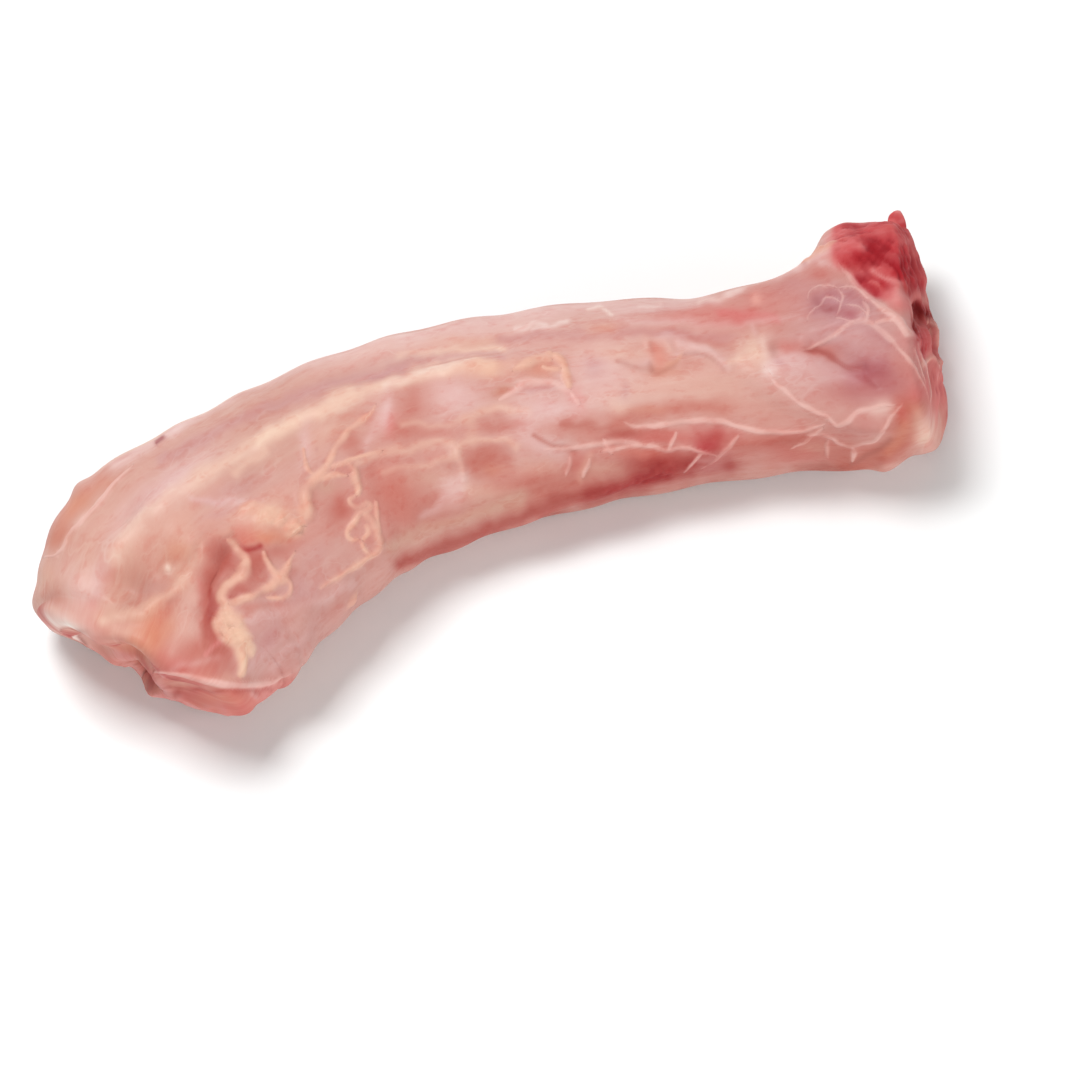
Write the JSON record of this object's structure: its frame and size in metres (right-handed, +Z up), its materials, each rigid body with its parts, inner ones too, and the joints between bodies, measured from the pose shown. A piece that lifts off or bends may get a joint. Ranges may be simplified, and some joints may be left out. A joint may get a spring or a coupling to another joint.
{
  "type": "raw chicken neck",
  "caption": "Raw skinless chicken neck, bent along its length and cut across at both ends, with fat strands on its film and torn red flesh at one end.",
  "frame": {"origin": "on the surface the neck rests on, under the middle of its length", "axes": "+X along the neck towards its head end (the end with the torn red flesh), +Y across it towards the outer side of its bend, +Z up"},
  "size_m": [0.1177, 0.07, 0.0247],
  "materials": {
    "flesh": "moist satin pink meat under a thin pale film, with cream strands of fat and deep red flesh at one cut end"
  },
  "bodies": {
    "root": {"chicken_neck": "flesh"}
  },
  "joints": []
}
